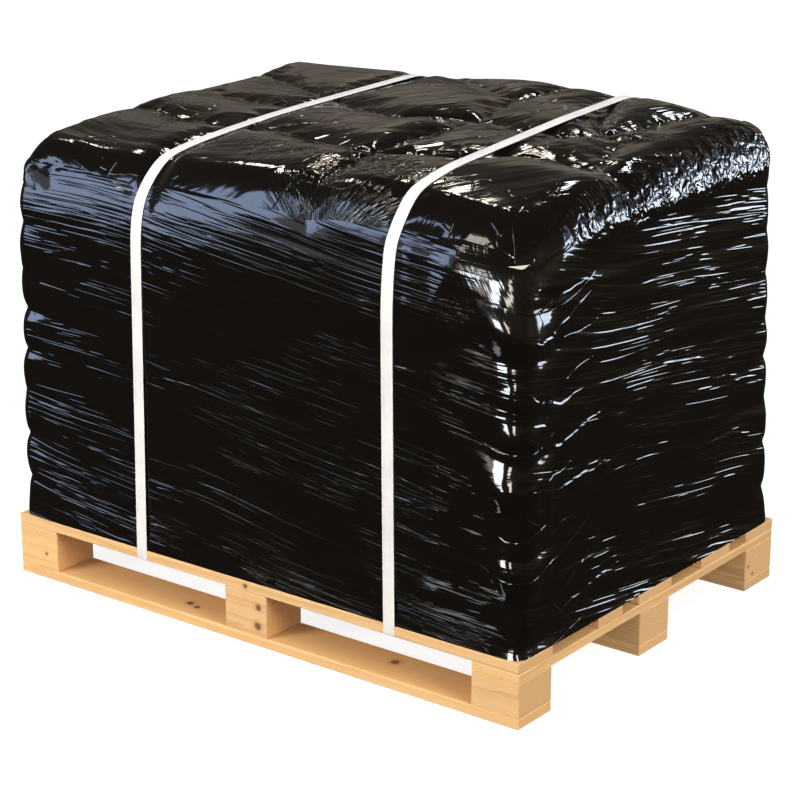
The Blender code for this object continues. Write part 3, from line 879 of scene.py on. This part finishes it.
def lid_grid(along, across, steps, last_angle):
    """The flat top and its shoulder as one grid: points, their shoulder angles, and faces."""
    columns, rows = len(along), len(across)
    points, angles, faces = [], [], []
    for b in across:
        for a in along:
            x, y = inner_point(a, b)
            y -= near_bulge(x, y, LAST_JOINT)
            points.append(Vector((x, y, top_height(x, y))))
            angles.append(0.0)
    for j in range(rows - 1):
        for i in range(columns - 1):
            low, high = j * columns + i, (j + 1) * columns + i
            faces.append((low, low + 1, high + 1, high))
    rim = list(range(columns - 1)) + [(j + 1) * columns - 1 for j in range(rows - 1)]
    rim += [rows * columns - 1 - i for i in range(columns - 1)]
    rim += [(rows - 1 - j) * columns for j in range(rows - 1)]
    ring = rim_places(along, across)
    count, first = len(ring), len(points)
    for step in range(1, steps + 1):
        for a, b in ring:
            angle = last_angle * step / steps
            turn = min(angle, math.pi / 2)
            p = shoulder_point(a, b, turn)
            if angle > turn:
                p.z -= 0.004 + rim_turn(a, b) * (angle - turn)
            points.append(p)
            angles.append(turn)
    for i in range(count):
        j = (i + 1) % count
        faces.append((rim[j], rim[i], first + i, first + j))
    for step in range(steps - 1):
        for i in range(count):
            j = (i + 1) % count
            low, high = first + step * count, first + (step + 1) * count
            faces.append((low + j, low + i, high + i, high + j))
    return points, angles, faces


class PALLET_OT_top_sacks(bpy.types.Operator):
    """Lay the top layer of full, rounded sacks under the film"""
    bl_idname = "pallet.top_sacks"
    bl_label = "Top sacks"

    def execute(self, context):
        points, angles, faces = lid_grid(spread(66), spread(46), 8, math.pi / 2)
        count = len(rim_places(spread(66), spread(46)))
        obj = mesh_object("top_sacks", points, faces, [bpy.data.materials["Polypropylene_woven"]])
        push_out(obj, [-0.006 - 0.012 * math.sin(angle) for angle in angles])
        bm = bmesh.new()
        bm.from_mesh(obj.data)
        bm.verts.ensure_lookup_table()
        low = [v for v in bm.verts[len(bm.verts) - count:]]
        foot = [bm.verts.new((v.co.x, v.co.y, LAST_JOINT + 0.0005)) for v in low]
        for i in range(count):
            j = (i + 1) % count
            bm.faces.new((low[j], low[i], foot[i], foot[j]))
        bm.faces.new(foot[::-1])
        bmesh.ops.recalc_face_normals(bm, faces=bm.faces)
        bm.to_mesh(obj.data)
        bm.free()
        obj.data.shade_smooth()
        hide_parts("sack_layer_%d" % LAYERS)
        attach(obj, "root")
        return {"FINISHED"}


class PALLET_OT_film_top(bpy.types.Operator):
    """Lay the film sheet over the top sacks and tuck its rim under the wrap"""
    bl_idname = "pallet.film_top"
    bl_label = "Film over the top"

    def execute(self, context):
        film = context.scene.pallet_film
        points, angles, faces = lid_grid(spread(264), spread(184), 26, math.radians(96))
        obj = mesh_object("film_over_top", points, faces, [film_top_material(film)])
        push_out(obj, [
            top_relief(p) * math.cos(angle) + (0.0005 - side_lean(p)) * math.sin(angle)
            for p, angle in zip(points, angles)])
        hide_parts("stretch_film")
        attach(obj, "root")
        return {"FINISHED"}


def convex_outline(points):
    """The corners of the tightest outline round the points, in order: the way a taut strap runs."""
    points = sorted(set(points))
    sides = []
    for run in (points, points[::-1]):
        side = []
        for p in run:
            while len(side) > 1:
                a, b = side[-2], side[-1]
                if (b[0] - a[0]) * (p[1] - a[1]) - (b[1] - a[1]) * (p[0] - a[0]) > 1e-9:
                    break
                side.pop()
            side.append(p)
        sides.append(side[:-1])
    return sides[0] + sides[1]


def strap_route(x, drift, width, pieces):
    """The (Y, Z) outline of the film and the deck under a strap, a hair outside them."""
    found = []
    for piece in pieces:
        for vert in piece.data.vertices:
            if abs(vert.co.x - x - drift * vert.co.y) < width / 2 + 0.004:
                found.append((round(vert.co.y, 5), round(vert.co.z, 5)))
    low = DECK_TOP - DECK_BOARD
    found += [(side * PALLET_WIDTH / 2, z) for side in (-1, 1) for z in (low, DECK_TOP)]
    return convex_outline(found)


def strap_tree():
    """Sweeps a flat band with softly rounded edges along a closed path, its width always along the load."""
    tree = bpy.data.node_groups.new("Strap band", "GeometryNodeTree")
    for name, kind, way in (("Path", "NodeSocketGeometry", "INPUT"), ("Width", "NodeSocketFloat", "INPUT"),
                            ("Thickness", "NodeSocketFloat", "INPUT"), ("Finish", "NodeSocketMaterial", "INPUT"),
                            ("Band", "NodeSocketGeometry", "OUTPUT")):
        tree.interface.new_socket(name, in_out=way, socket_type=kind)
    given = add_node(tree, "NodeGroupInput")
    path = add_node(tree, "GeometryNodeMeshToCurve", {0: given.outputs["Path"]})
    level = add_node(tree, "GeometryNodeSetCurveNormal", {"Curve": path.outputs[0], "Normal": (1, 0, 0)}, mode="FREE")
    profile = add_node(tree, "GeometryNodeCurvePrimitiveQuadrilateral", {
        "Width": given.outputs["Width"], "Height": given.outputs["Thickness"]}, mode="RECTANGLE")
    soft = add_node(tree, "GeometryNodeFilletCurve", {
        "Curve": profile.outputs[0], "Count": 2,
        "Radius": maths(tree, "MULTIPLY", given.outputs["Thickness"], 0.45)}, mode="POLY")
    band = add_node(tree, "GeometryNodeCurveToMesh", {"Curve": level.outputs[0], "Profile Curve": soft.outputs[0]})
    whole = add_node(tree, "GeometryNodeRealizeInstances", {0: band.outputs[0]})
    coated = add_node(tree, "GeometryNodeSetMaterial", {"Geometry": whole.outputs[0], "Material": given.outputs["Finish"]})
    add_node(tree, "NodeGroupOutput", {0: coated.outputs[0]})
    return tree


def strap_band(name, path, x, drift, settings, tree, finish):
    """The band of one strap: its path run through the strap's node tree and turned into a plain mesh."""
    mesh = bpy.data.meshes.new(name)
    mesh.from_pydata([(x + drift * p.x, p.x, p.y) for p in path],
                     [(i, (i + 1) % len(path)) for i in range(len(path))], [])
    obj = bpy.data.objects.new(name, mesh)
    bpy.context.scene.collection.objects.link(obj)
    nodes = obj.modifiers.new("Band", "NODES")
    nodes.node_group = tree
    sizes = {"Width": settings.width, "Thickness": settings.thickness, "Finish": finish}
    for socket in tree.interface.items_tree:
        if socket.in_out == "INPUT" and socket.name in sizes:
            nodes[socket.identifier] = sizes[socket.name]
    bpy.context.view_layer.update()
    graph = bpy.context.evaluated_depsgraph_get()
    band = bpy.data.meshes.new_from_object(obj.evaluated_get(graph), preserve_all_data_layers=True, depsgraph=graph)
    obj.modifiers.clear()
    obj.data = band
    bpy.data.meshes.remove(mesh)
    if not band.polygons:
        raise RuntimeError("the band of " + name + " came out empty")
    bm = bmesh.new()
    bm.from_mesh(band)
    bmesh.ops.recalc_face_normals(bm, faces=bm.faces)
    bm.to_mesh(band)
    bm.free()
    band.shade_smooth()
    band.set_sharp_from_angle(angle=math.radians(35))
    return obj


class PALLET_OT_straps(bpy.types.Operator):
    """Pull the two flat straps over the film and round the deck"""
    bl_idname = "pallet.straps"
    bl_label = "Straps"

    def execute(self, context):
        settings = context.scene.pallet_strap
        film = [bpy.data.objects["film_round_sides"], bpy.data.objects["film_over_top"]]
        finish, tree = strap_material(settings), strap_tree()
        for name, node, x, drift in STRAPS:
            outline = [Vector(point) for point in strap_route(x, drift, settings.width, film)]
            path = resample(outline, 0.004)
            path = eased(path, 60, 1, 0.20)
            path = [p + outward_at(path, i) * (settings.thickness / 2 + 0.0003) for i, p in enumerate(path)]
            press_film(film, path, x, drift, settings)
            obj = strap_band(name, path, x, drift, settings, tree, finish)
            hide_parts(node)
            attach(obj, "root")
        return {"FINISHED"}


def resample(path, step):
    """The closed outline as points about a step apart."""
    out = []
    for i, here in enumerate(path):
        after = path[(i + 1) % len(path)]
        count = max(1, round((after - here).length / step))
        out += [here.lerp(after, k / count) for k in range(count)]
    return out


def eased(path, rounds_high, rounds_low, low):
    """The route with its corners eased: much on the sacks, little where it turns round the deck's edge."""
    for turn in range(rounds_high):
        path = [
            here if turn >= rounds_low and here.y < low else (path[i - 1] + here * 2 + path[(i + 1) % len(path)]) / 4
            for i, here in enumerate(path)]
    return path


def outward_at(path, i):
    along = path[(i + 1) % len(path)] - path[i - 1]
    return Vector((along.y, -along.x)).normalized()


def press_film(pieces, path, x, drift, settings):
    """Sinks the film under a strap, and less and less beside it, so that the strap lies in the film."""
    tree = kdtree.KDTree(len(path))
    for i, point in enumerate(path):
        tree.insert((point.x, point.y, 0.0), i)
    tree.balance()
    for piece in pieces:
        for vert in piece.data.vertices:
            aside = abs(vert.co.x - x - drift * vert.co.y)
            if aside > 0.045:
                continue
            place, i, distance = tree.find((vert.co.y, vert.co.z, 0.0))
            if distance > 0.05:
                continue
            normal = outward_at(path, i)
            proud = (vert.co.y - path[i].x) * normal.x + (vert.co.z - path[i].y) * normal.y
            sink = proud + settings.thickness / 2 + 0.0006
            if sink > 0:
                sink *= 1 - smooth(aside, settings.width / 2 + 0.003, 0.045)
                vert.co.y -= normal.x * sink
                vert.co.z -= normal.y * sink
        piece.data.update()


# ---------------------------------------------------------------- stage

def area_light(name, place, target, size, radiance, colour, diffuse, glossy):
    """A soft box of the given radiance that lights matt surfaces, shows in gloss, or both."""
    light = bpy.data.lights.new(name, "AREA")
    light.shape = "RECTANGLE"
    light.size, light.size_y = size
    light.energy = radiance * math.pi * size[0] * size[1]
    light.color = colour
    obj = bpy.data.objects.new(name, light)
    bpy.context.scene.collection.objects.link(obj)
    obj.location = place
    obj.rotation_euler = (Vector(target) - Vector(place)).to_track_quat("-Z", "Y").to_euler()
    obj.visible_camera = False
    obj.visible_diffuse = diffuse
    obj.visible_glossy = glossy
    return obj


def studio_world():
    """A white surround for the camera and soft light, with a dim warm band low behind for the gloss."""
    world = bpy.data.worlds.new("Studio surround")
    bpy.context.scene.world = world
    world.use_nodes = True
    tree = world.node_tree
    tree.nodes.clear()
    way = add_node(tree, "ShaderNodeTexCoord").outputs["Generated"]
    rays = add_node(tree, "ShaderNodeLightPath")
    rise = split(tree, way)[2]
    behind_left = add_node(tree, "ShaderNodeVectorMath", {
        0: way, 1: Vector((-0.42, 0.89, 0.20)).normalized()}, operation="DOT_PRODUCT").outputs[1]
    warm = maths(tree, "MULTIPLY", remap(tree, behind_left, 0.90, 0.985), remap(tree, rise, 0.06, 0.24))
    warm = maths(tree, "MULTIPLY", warm, remap(tree, rise, 0.42, 0.28))
    warm = maths(tree, "MULTIPLY", warm, remap(tree, noise_value(tree, way, 4.5, 1), 0.40, 0.60, 0.35, 1.0))
    behind_right = add_node(tree, "ShaderNodeVectorMath", {
        0: way, 1: Vector((0.60, 0.79, 0.05)).normalized()}, operation="DOT_PRODUCT").outputs[1]
    low = maths(tree, "MULTIPLY", remap(tree, behind_right, 0.70, 0.98), remap(tree, rise, -0.30, 0.04))
    low = maths(tree, "MULTIPLY", low, remap(tree, rise, 0.30, 0.12))
    around = maths(tree, "MULTIPLY", remap(tree, rise, -0.12, 0.10), remap(tree, rise, 0.75, 0.35))
    glossy = mix_colours(tree, around, (0.040, 0.033, 0.026, 1), (0.13, 0.115, 0.10, 1))
    glossy = mix_colours(tree, warm, glossy, (0.78, 0.67, 0.54, 1))
    glossy = mix_colours(tree, low, glossy, (0.30, 0.23, 0.15, 1))
    below = remap(tree, rise, 0.05, -0.25)
    soft = mix_colours(tree, below, (0.54, 0.56, 0.60, 1), (0.10, 0.08, 0.06, 1))
    colour = mix_colours(tree, rays.outputs["Is Glossy Ray"], soft, glossy)
    colour = mix_colours(tree, rays.outputs["Is Camera Ray"], colour, (1.0, 1.0, 1.0, 1))
    background = add_node(tree, "ShaderNodeBackground", {"Color": colour, "Strength": 1.0})
    add_node(tree, "ShaderNodeOutputWorld", {"Surface": background.outputs[0]})


# Panels seen only as reflections: name, place, target, size, radiance and colour.
GLOSS_LIGHTS = (
    ("window_left", (-5.00, -4.0, 3.85), (-5.00, 0.0, 3.85), (3.1, 6.4), 6.2, (0.52, 0.68, 1.0)),
    ("window_left_faint", (-2.70, -4.0, 2.20), (-2.70, 0.0, 2.20), (1.5, 2.0), 0.8, (0.85, 0.92, 1.0)),
    ("window_left_low", (-2.70, -4.0, -4.60), (-2.70, 0.0, -4.60), (1.5, 2.4), 3.0, (0.85, 0.92, 1.0)),
    ("lamp_front_dim", (-1.55, -4.85, 1.25), (0.5, -0.4, 0.7), (0.5, 1.5), 0.7, (1.0, 0.86, 0.70)),
    ("lamp_front_mid", (-1.05, -4.85, 1.25), (0.5, -0.4, 0.7), (0.5, 1.5), 1.5, (1.0, 0.83, 0.65)),
    ("lamp_front_cream", (-0.55, -4.85, 1.25), (0.5, -0.4, 0.7), (0.5, 1.5), 4.2, (1.0, 0.84, 0.66)),
    ("lamp_front_white", (1.20, -4.95, 1.20), (0.55, -0.4, 0.7), (2.8, 1.7), 28.0, (0.88, 0.94, 1.0)),
    ("lamp_right_front", (3.60, -2.75, 1.50), (0.6, -0.4, 0.7), (0.6, 1.6), 20.0, (1.0, 0.92, 0.80)),
    ("lamp_front_high", (-0.55, -2.00, 3.40), (0.15, -0.4, 0.85), (0.8, 0.6), 9.0, (1.0, 0.90, 0.76)),
    ("window_back", (3.40, 4.90, 1.05), (0.6, 0.0, 0.8), (3.8, 1.5), 13.0, (0.74, 0.85, 1.0)),
    ("window_back_high", (3.40, 4.90, 2.50), (0.6, 0.0, 0.8), (3.8, 1.6), 1.3, (0.55, 0.73, 1.0)),
    ("lamp_over_back", (-2.60, 3.40, 4.80), (0.0, 0.0, 0.9), (0.5, 0.4), 26.0, (1.0, 0.90, 0.76)),
    ("lamp_high_left", (-3.60, 1.40, 4.40), (0.0, 0.0, 0.9), (0.5, 0.4), 26.0, (1.0, 0.92, 0.80)),
    ("lamp_high_back", (-0.70, 3.90, 4.60), (0.0, 0.0, 0.9), (0.5, 0.4), 26.0, (0.94, 0.96, 1.0)),
)


class PALLET_OT_stage(bpy.types.Operator):
    """Set the pale floor, the soft boxes, the surround and the camera"""
    bl_idname = "pallet.stage"
    bl_label = "Stage, light and camera"

    def execute(self, context):
        settings = context.scene.pallet_stage
        half = settings.floor / 2
        floor = mesh_object("studio_floor", [(-half, -half, 0), (half, -half, 0), (half, half, 0), (-half, half, 0)],
                            [(0, 1, 2, 3)])
        material, tree = new_material("Paper_white_seamless")
        glow = add_node(tree, "ShaderNodeEmission", {"Color": (1, 1, 1, 1), "Strength": 0.86})
        matt = add_node(tree, "ShaderNodeBsdfDiffuse", {"Color": (0.30, 0.30, 0.30, 1)})
        finish_surface(tree, add_node(tree, "ShaderNodeAddShader", {0: glow.outputs[0], 1: matt.outputs[0]}).outputs[0])
        floor.data.materials.append(material)
        floor.visible_glossy = False
        floor.visible_diffuse = False
        studio_world()
        middle = (0.0, 0.0, 0.5)
        area_light("key_soft_box", (-2.6, -5.2, 2.2), middle, (2.2, 2.2), 18.5, (1.0, 0.93, 0.82), True, False)
        area_light("top_soft_box", (-0.6, -0.8, 5.2), middle, (3.0, 3.0), 2.0, (1.0, 0.98, 0.95), True, False)
        area_light("side_soft_box", (4.6, -1.4, 2.6), middle, (2.0, 2.0), 12.5, (1.0, 0.89, 0.74), True, False)
        for name, place, target, size, radiance, colour in GLOSS_LIGHTS:
            area_light(name, place, target, size, radiance, colour, False, True)
        camera = bpy.data.cameras.new("camera")
        camera.sensor_width = 36.0
        camera.lens = settings.lens
        camera.clip_end = 100.0
        holder = bpy.data.objects.new("camera", camera)
        context.scene.collection.objects.link(holder)
        holder.location = (2.687, -3.5045, 1.797)
        holder.rotation_euler = (math.radians(72), 0.0, 0.6519)
        context.scene.camera = holder
        context.scene.view_settings.view_transform = "Standard"
        return {"FINISHED"}


class PALLET_PT_panel(bpy.types.Panel):
    """Lists the pieces of the wrapped pallet"""
    bl_idname = "PALLET_PT_panel"
    bl_label = "Wrapped pallet"
    bl_space_type = "VIEW_3D"
    bl_region_type = "UI"
    bl_category = "Pallet"

    def draw(self, context):
        for operator in OPERATORS:
            self.layout.operator(operator.bl_idname)


OPERATORS = (PALLET_OT_timber, PALLET_OT_sacks, PALLET_OT_top_sacks, PALLET_OT_film_side, PALLET_OT_film_top, PALLET_OT_straps,
             PALLET_OT_stage)
SETTINGS = (("pallet_film", FilmSettings), ("pallet_strap", StrapSettings), ("pallet_timber", TimberSettings),
            ("pallet_stage", StageSettings))


def register():
    for name, group in SETTINGS:
        bpy.utils.register_class(group)
        setattr(bpy.types.Scene, name, bpy.props.PointerProperty(type=group))
    for cls in OPERATORS + (PALLET_PT_panel,):
        bpy.utils.register_class(cls)


def unregister():
    for cls in (PALLET_PT_panel,) + OPERATORS[::-1]:
        bpy.utils.unregister_class(cls)
    for name, group in SETTINGS[::-1]:
        delattr(bpy.types.Scene, name)
        bpy.utils.unregister_class(group)


def main():
    register()
    for step in ("timber", "sacks", "top_sacks", "film_side", "film_top", "straps", "stage"):
        getattr(bpy.ops.pallet, step)()


if __name__ == "__main__":
    main()
